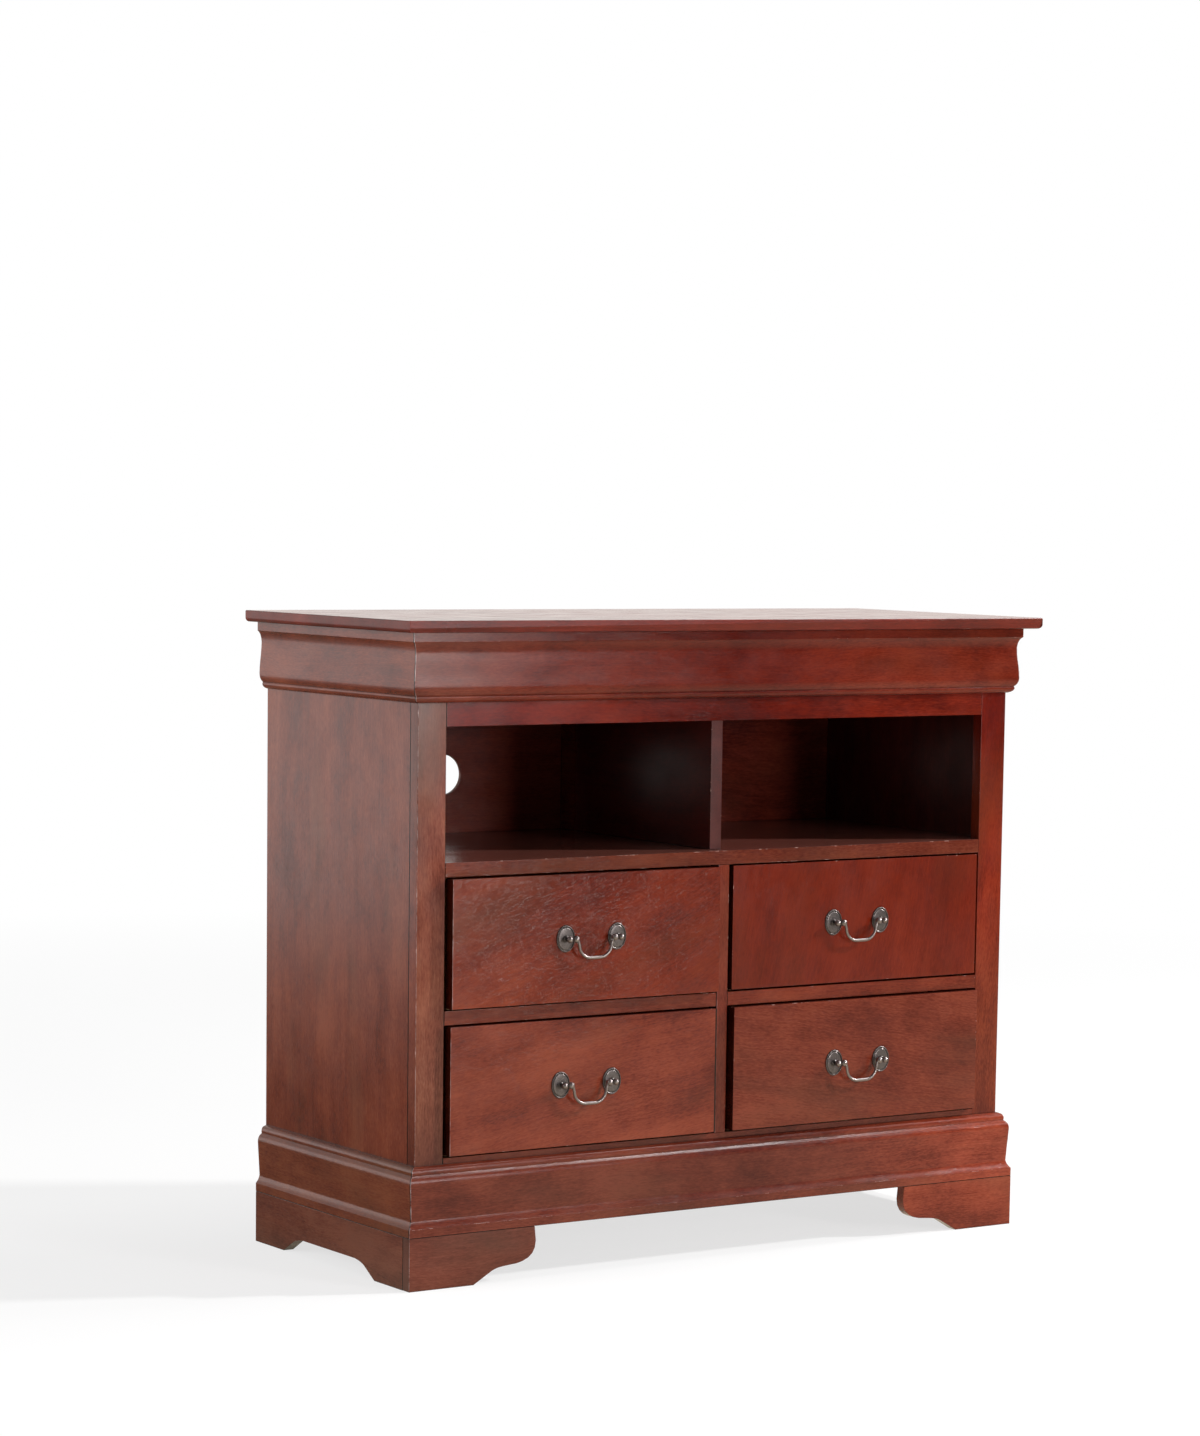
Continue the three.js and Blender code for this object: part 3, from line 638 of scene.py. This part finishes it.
middle = Vector((0, 0, 0.4))
dressNode("back_panel", stainedBoard("back_board", innerBoards["back_panel"], middle, 40))
dressNode("dust_panel", stainedBoard("dust_board", innerBoards["dust_panel"], middle, 41))
boxSide, boxBack, boxBottom = (
    stainedBoard(f"box_{part}", innerBoards[part], middle, seed, look=boxWood)
    for seed, part in enumerate(("side", "back", "bottom"), start=42)
)
for drawer in drawerNames:
    dressNode(f"drawer_side_left_{drawer}", boxSide)
    dressNode(f"drawer_side_right_{drawer}", boxSide)
    dressNode(f"drawer_back_{drawer}", boxBack)
    dressNode(f"drawer_bottom_{drawer}", boxBottom)
    dressNode(f"guide_{drawer}", boxSide)
for name in nodes:
    if name not in boards and not name.startswith("pull_"):
        easeEdges(nodes[name])
print("drawer boxes and back finished")


# antique pewter: satin on the plates, black in the recesses, burnished by hands on the ball and bail
pewterDark = (0.024, 0.019, 0.017)
pewterWorn = (0.088, 0.074, 0.071)
platePewter = {
    "low": pewterWorn,
    "high": (0.150, 0.127, 0.123),
    "roughness": (0.24, 0.38),
    "metallic": 0.74,
    "recess": (0.85, 5 * mm),           # how black, and how far from the corner
    "grit": 0.12,
}
recessPewter = {**platePewter, "low": pewterDark, "high": pewterWorn}
handPewter = {
    "low": (0.225, 0.195, 0.190),
    "high": (0.285, 0.248, 0.243),
    "roughness": (0.29, 0.34),
    "metallic": 1.0,
    "recess": (0.55, 2.5 * mm),
    "grit": 0.04,
}
pewterCast = {
    "patinaScale": 430.0,
    "patinaStops": (0.36, 0.62),
    "patinaFrom": (0.3, 0.7),
    "recessFrom": (0.35, 0.85),
    "gritScale": 1600.0,
    "gritDepth": 0.08 * mm,
}


def makePewter(name, look, cast=pewterCast):
    material, tree = freshTree(name)
    coords = addNode(tree, "ShaderNodeTexCoord").outputs["Object"]
    patina = addNoise(tree, coords, cast["patinaScale"], 4.0, 0.65)
    colour = addRamp(tree, patina, cast["patinaStops"], (look["low"], look["high"]))
    smoothest, roughest = look["roughness"]
    rough = remap(tree, patina, *cast["patinaFrom"], roughest, smoothest)
    blackness, reach = look["recess"]
    corner = remap(tree, openness(tree, reach, 8), *cast["recessFrom"], blackness, 0.0)
    colour = mixColours(tree, corner, colour, pewterDark)
    bump = addNode(tree, "ShaderNodeBump", Height=addNoise(tree, coords, cast["gritScale"]),
                   Strength=look["grit"], Distance=cast["gritDepth"])
    shader = addNode(tree, "ShaderNodeBsdfPrincipled", Base_Color=colour, Roughness=rough,
                     Metallic=look["metallic"], Normal=bump.outputs[0])
    addNode(tree, "ShaderNodeOutputMaterial", Surface=shader.outputs[0])
    return material


pewter = makePewter("pewter", platePewter)
blackened = makePewter("pewter_recess", recessPewter)
burnished = makePewter("pewter_burnished", handPewter)

# the swan-neck bail pulls: oval plate, ball post and bail; sizes in millimetres
pull = {
    "plateRim": [           # share of the plate's half size, then height over the drawer face
        (0.985, 0.1), (1.000, 0.5), (0.992, 1.0), (0.968, 1.5), (0.940, 1.75), (0.914, 1.7), (0.896, 1.30),
        (0.872, 0.80), (0.840, 0.75), (0.816, 1.10), (0.790, 1.36), (0.750, 1.45), (0.350, 1.50),
    ],
    "plateBack": 0.2,
    "plateMiddle": 1.52,
    "plateBlack": range(6, 9),      # which bands of the rim are blackened
    "plateWider": 1.04,             # the plate against the solid that it stands for
    "plateLower": 0.95,
    "plateSides": 64,
    "post": [                       # radius, then height over the drawer face
        (4.6, 1.3), (4.6, 2.1), (4.1, 2.8), (3.0, 3.1), (2.7, 3.5), (2.7, 5.4), (3.1, 6.1),
    ],
    "postBlack": range(2, 5),
    "postBrightFrom": 5,            # the band from which the post is burnished
    "postSides": 32,
    "ball": 4.5,
    "ballSteps": 12,
    "knuckle": 4.9,                 # the round elbow where the bail turns down
    "knuckleAt": 31.5,              # from the middle of the pull
    "knuckleGrid": (24, 14),
    "neck": 1.55,                   # the blackened end that goes into the ball
    "neckFrom": (2.2, 2.5, 2.9),    # beyond the knuckle's middle: still full, change, thin
    "elbowLonger": 1.15,
    "elbowSteps": 5,
    "shoulderAt": 27.3,
    "shoulderDrop": (0.5, 6.5),     # the first straight bit below the elbow: inwards and down
    "cornerIn": 1.2,
    "cornerAcross": 18.5,
    "cornerFrom": 8.5,              # how far below the hinge the wire starts to curve in
    "cornerSteps": 14,
    "barFrom": 3.0,
    "drop": 26.4,
    "wire": 2.0,
    "wireMiddle": 2.45,
    "wireEvenFrom": 6.0,
    "bailSides": 20,
}
plainSlot, blackSlot, brightSlot = 0, 1, 2      # order of a piece's materials


def meshPiece(name, build, materials, body, replaced):
    mesh = bpy.data.meshes.new(name)
    shape = bmesh.new()
    build(shape)
    bmesh.ops.recalc_face_normals(shape, faces=shape.faces)
    shape.to_mesh(mesh)
    shape.free()
    for face in mesh.polygons:
        face.use_smooth = True
    for material in materials:
        mesh.materials.append(material)
    piece = addToScene(name, mesh)
    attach(piece, body)
    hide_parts(replaced)


def joinRings(shape, rings, black=(), bright=()):
    for level, (first, second) in enumerate(zip(rings, rings[1:])):
        finish = blackSlot if level in black else brightSlot if level in bright else plainSlot
        for i in range(len(first)):
            j = (i + 1) % len(first)
            shape.faces.new((first[i], first[j], second[j], second[i])).material_index = finish


def closeRing(shape, ring, point, finish=plainSlot):
    tip = shape.verts.new(point)
    for i in range(len(ring)):
        shape.faces.new((ring[i], ring[(i + 1) % len(ring)], tip)).material_index = finish


def ringAt(shape, centre, width, height, out, sides):
    turn = [2 * math.pi * i / sides for i in range(sides)]
    return [shape.verts.new(centre + Vector((width * math.cos(a), -out, height * math.sin(a)))) for a in turn]


# one post on its oval plate, turned about the line that comes straight out of the drawer
def buildPost(shape, centre, halfWidth, halfHeight, reach):
    rings = [
        ringAt(shape, centre, halfWidth * share, halfHeight * share, height * mm, pull["plateSides"])
        for share, height in pull["plateRim"]
    ]
    joinRings(shape, rings, pull["plateBlack"])
    closeRing(shape, rings[0], centre + Vector((0, -pull["plateBack"] * mm, 0)))
    closeRing(shape, rings[-1], centre + Vector((0, -pull["plateMiddle"] * mm, 0)))
    profile = [(radius * mm, height * mm) for radius, height in pull["post"]]
    ball = pull["ball"] * mm
    start = math.asin(min(1.0, profile[-1][0] / ball))
    for i in range(1, pull["ballSteps"]):
        angle = math.pi - start + (start - math.pi) * i / pull["ballSteps"]
        profile.append((ball * math.sin(angle), reach + ball * math.cos(angle)))
    rings = [ringAt(shape, centre, radius, radius, height, pull["postSides"]) for radius, height in profile]
    joinRings(shape, rings, pull["postBlack"], range(pull["postBrightFrom"], len(rings)))
    closeRing(shape, rings[0], centre + Vector((0, -profile[0][1], 0)))
    closeRing(shape, rings[-1], centre + Vector((0, -reach - ball, 0)), brightSlot)


# half of the bail's centre line, from the ball down to the middle of the bar
def bailRoute(endAt):
    drop, knuckle, shoulder = pull["drop"], pull["knuckleAt"], pull["shoulderAt"]
    full, _, thin = pull["neckFrom"]
    points = [(endAt, 0.0), (knuckle + thin, 0.0), (knuckle + full, 0.0), (knuckle, 0.0)]
    reach = knuckle - shoulder
    for i in range(1, pull["elbowSteps"] + 1):
        angle = math.pi / 2 * i / pull["elbowSteps"]
        points.append((
            shoulder + reach * (1 - math.sin(angle)),
            -reach * (1 - math.cos(angle)) * pull["elbowLonger"],
        ))
    inwards, down = pull["shoulderDrop"]
    points.append((shoulder - inwards, -down))
    corner = shoulder - pull["cornerIn"]
    for i in range(pull["cornerSteps"] + 1):
        angle = math.pi / 2 * i / pull["cornerSteps"]
        points.append((
            corner - pull["cornerAcross"] * (1 - math.cos(angle)),
            -drop + (drop - pull["cornerFrom"]) * (1 - math.sin(angle)),
        ))
    points.append((corner - pull["cornerAcross"] - pull["barFrom"], -drop))
    points.append((0.0, -drop))
    return points


# the wire swells towards the middle of the bar and is thin inside the ball
def bailRadius(across):
    if across > pull["knuckleAt"] + pull["neckFrom"][1]:
        return pull["neck"]
    share = min(1.0, across / (pull["shoulderAt"] - pull["wireEvenFrom"]))
    return pull["wireMiddle"] + (pull["wire"] - pull["wireMiddle"]) * share * share


def buildBail(shape, hinge, endAt):
    half = bailRoute(endAt)
    route = [Vector((x * mm, 0, z * mm)) for x, z in half]
    route += [Vector((-point.x, 0, point.z)) for point in reversed(route[:-1])]
    rings = []
    for i, point in enumerate(route):
        before, after = route[max(i - 1, 0)], route[min(i + 1, len(route) - 1)]
        along = (after - before).normalized()
        side = Vector((along.z, 0, -along.x))
        radius = bailRadius(abs(point.x) / mm) * mm
        ring = []
        for k in range(pull["bailSides"]):
            angle = 2 * math.pi * k / pull["bailSides"]
            offset = side * math.cos(angle) + Vector((0, 1, 0)) * math.sin(angle)
            ring.append(shape.verts.new(hinge + point + offset * radius))
        rings.append(ring)
    joinRings(shape, rings)
    closeRing(shape, rings[0], hinge + route[0])
    closeRing(shape, rings[-1], hinge + route[-1])
    around, upwards = pull["knuckleGrid"]
    for hand in (-1, 1):
        place = hinge + Vector((hand * pull["knuckleAt"] * mm, 0, 0))
        made = bmesh.ops.create_uvsphere(
            shape, u_segments=around, v_segments=upwards, radius=pull["knuckle"] * mm,
        )
        bmesh.ops.translate(shape, verts=made["verts"], vec=place)
    for face in shape.faces:
        if abs(face.calc_center_median().x - hinge.x) > (pull["knuckleAt"] + pull["knuckle"]) * mm:
            face.material_index = blackSlot


for drawer in drawerNames:
    hinge = Vector(joints[f"bail_{drawer}_hinge"]["pos_m"])
    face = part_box(f"drawer_front_{drawer}")[0].y
    for hand in ("left", "right"):
        node = f"pull_post_{hand}_{drawer}"
        low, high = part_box(node)
        foot = Vector(((low.x + high.x) / 2, face, hinge.z))
        halfWidth = (high.x - low.x) / 2 * pull["plateWider"]
        halfHeight = (high.z - low.z) / 2 * pull["plateLower"]
        meshPiece(
            f"plate_and_post_{hand}_{drawer}",
            lambda shape: buildPost(shape, foot, halfWidth, halfHeight, face - hinge.y),
            (pewter, blackened, burnished), f"drawer_{drawer}", node,
        )
    bailLow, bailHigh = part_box(f"pull_bail_{drawer}")
    meshPiece(
        f"bail_{drawer}",
        lambda shape: buildBail(shape, hinge, (bailHigh.x - hinge.x) / mm),
        (burnished, blackened), f"bail_{drawer}", f"pull_bail_{drawer}",
    )
print("pulls made")


# lights and floor: "toward" points from the chest to the lamp, and "shown" is what gloss and metal mirror
studio = {
    "aim": (0, 0, 0.45),
    "lamps": {
        "key": {"toward": (0.81, -0.37, 0.45), "distance": 7.0, "size": 0.45, "power": 480},
        "overhead": {"toward": (0.57, -0.09, 0.80), "distance": 3.4, "size": 1.0, "power": 40},
        "window": {"toward": (0.365, -0.903, 0.226), "distance": 5.15, "size": 0.68, "height": 2.4, "power": 34},
        "fill": {"toward": (0.250, -0.960, 0.125), "distance": 3.8, "size": 0.55, "power": 35},
        "left": {"toward": (-0.95, 0.15, 0.30), "distance": 5.0, "size": 2.0, "power": 89},
        "behind": {"toward": (-0.57, 0.80, 0.06), "distance": 4.5, "size": 1.6, "power": 7},
    },
    "world": 0.28,                      # plain light from all round
    "roomShown": 0.045,                 # the unlit room in front of the chest
    "leftShown": 0.32,                  # the pale wall on its left
    "leftFrom": (-0.45, 0.15),
    "groundShown": 1.12,                # the white ground behind it
    "groundFrom": (-0.05, 0.35),
    "groundTint": (1.0, 0.955, 0.915),
    "ceilingShown": 0.30,
    "ceilingFrom": (0.35, 0.75),
    "floor": 60,
    "floorBounce": 0.85,
    "shadowShown": 0.30,                # share of the floor's white that shadows can take away
    "shadowFade": (1.6, 4.5),           # metres from the chest
    "floorPaintedLight": (0.95, 0.86, 0.66),    # painted lamp light, warm, on the mirrored floor near the chest
    "floorShade": 0.22,                 # painted shadow: its share on the side away from the key lamp
    "keySide": (0.57, -0.82),           # towards the key lamp on the floor
    "keyFrom": (-0.6, 0.4),
    "backFrom": (-0.5, 1.5),
    "farFrom": (1.8, 6.0),
}


def addLamp(name, setup):
    data = bpy.data.lights.new(name, "AREA")
    data.shape = "RECTANGLE"
    data.size = setup["size"]
    data.size_y = setup.get("height", setup["size"])
    data.energy = setup["power"]
    lamp = addToScene(name, data)
    toward = Vector(setup["toward"]).normalized()
    lamp.location = Vector(studio["aim"]) + toward * setup["distance"]
    lamp.rotation_euler = (-toward).to_track_quat("-Z", "Y").to_euler()
    lamp.visible_camera = False


# rays straight to the camera or through glass see plain white, and mirrored rays see the studio
def shownRays(tree):
    rays = addNode(tree, "ShaderNodeLightPath")
    clear = addMath(tree, "MAXIMUM", rays.outputs["Is Camera Ray"], rays.outputs["Is Transmission Ray"])
    return clear, rays.outputs["Is Glossy Ray"]


def addFloor(setup):
    mesh = bpy.data.meshes.new("floor")
    half = setup["floor"] / 2
    corners = [(-half, -half, 0), (half, -half, 0), (half, half, 0), (-half, half, 0)]
    mesh.from_pydata(corners, [], [(0, 1, 2, 3)])
    floor = addToScene("floor", mesh)
    material, tree = freshTree("floor_paper")
    coords = addNode(tree, "ShaderNodeTexCoord").outputs["Object"]
    x, y, _ = splitAxes(tree, coords)
    distance = vectorMath(tree, "LENGTH", coords, result="Value")
    clear, glossy = shownRays(tree)

    # straight to the camera: white, less the shadow
    near = remap(tree, distance, *setup["shadowFade"], 1.0, 0.0)
    shadow = addMath(tree, "MULTIPLY", near, setup["shadowShown"])
    glow = mixColours(tree, addMath(tree, "SUBTRACT", 1.0, shadow), black, white)

    # mirrored: painted light and shade on the floor, lit and warm near the chest on the key lamp's side, a
    # painted shadow behind it, white far behind and dark far in front
    acrossKey, alongKey = setup["keySide"]
    toKey = addMath(tree, "ADD", addMath(tree, "MULTIPLY", x, acrossKey), addMath(tree, "MULTIPLY", y, alongKey))
    lit = remap(tree, toKey, *setup["keyFrom"], setup["floorShade"], 1.0)
    nearColour = mixColours(tree, lit, black, setup["floorPaintedLight"])
    back = remap(tree, y, *setup["backFrom"], setup["roomShown"], setup["groundShown"])
    farColour = mixColours(tree, back, black, setup["groundTint"])
    mirrored = mixColours(tree, remap(tree, distance, *setup["farFrom"]), nearColour, farColour)

    # what is seen glows, and the rest of the white is matt paper that takes the shadow and bounces light
    light = addNode(tree, "ShaderNodeEmission", Color=mixColours(tree, glossy, glow, mirrored),
                    Strength=addMath(tree, "MAXIMUM", clear, glossy))
    bounce = setup["floorBounce"]
    paper = addMath(tree, "MULTIPLY_ADD", addMath(tree, "SUBTRACT", shadow, bounce), clear, bounce)
    paper = addMath(tree, "MULTIPLY", paper, addMath(tree, "SUBTRACT", 1.0, glossy))
    matt = addNode(tree, "ShaderNodeBsdfDiffuse", Color=mixColours(tree, paper, black, white))
    both = addNode(tree, "ShaderNodeAddShader")
    feed(tree, both.inputs[0], matt.outputs[0])
    feed(tree, both.inputs[1], light.outputs[0])
    addNode(tree, "ShaderNodeOutputMaterial", Surface=both.outputs[0])
    mesh.materials.append(material)


def makeWorld(setup):
    world = bpy.data.worlds.new("studio")
    bpy.context.scene.world = world
    world.use_nodes = True
    tree = world.node_tree
    tree.nodes.clear()
    clear, glossy = shownRays(tree)
    x, y, z = splitAxes(tree, addNode(tree, "ShaderNodeTexCoord").outputs["Generated"])
    room = remap(tree, x, *setup["leftFrom"], setup["leftShown"], setup["roomShown"])
    walls = remap(tree, y, *setup["groundFrom"], room, setup["groundShown"])
    above = remap(tree, z, *setup["ceilingFrom"])
    mirrored = addMath(tree, "ADD", addMath(tree, "MULTIPLY", walls, addMath(tree, "SUBTRACT", 1.0, above)),
                       addMath(tree, "MULTIPLY", above, setup["ceilingShown"]))
    strength = addMath(tree, "MULTIPLY_ADD", addMath(tree, "SUBTRACT", mirrored, setup["world"]), glossy,
                       setup["world"])
    strength = addMath(tree, "MAXIMUM", strength, clear)
    colour = mixColours(tree, glossy, white, setup["groundTint"])
    background = addNode(tree, "ShaderNodeBackground", Color=colour, Strength=strength)
    addNode(tree, "ShaderNodeOutputWorld", Surface=background.outputs[0])


makeWorld(studio)
addFloor(studio)
for lampName, lampSetup in studio["lamps"].items():
    addLamp(lampName, lampSetup)
bpy.context.scene.view_settings.view_transform = "Standard"
print("studio lit")
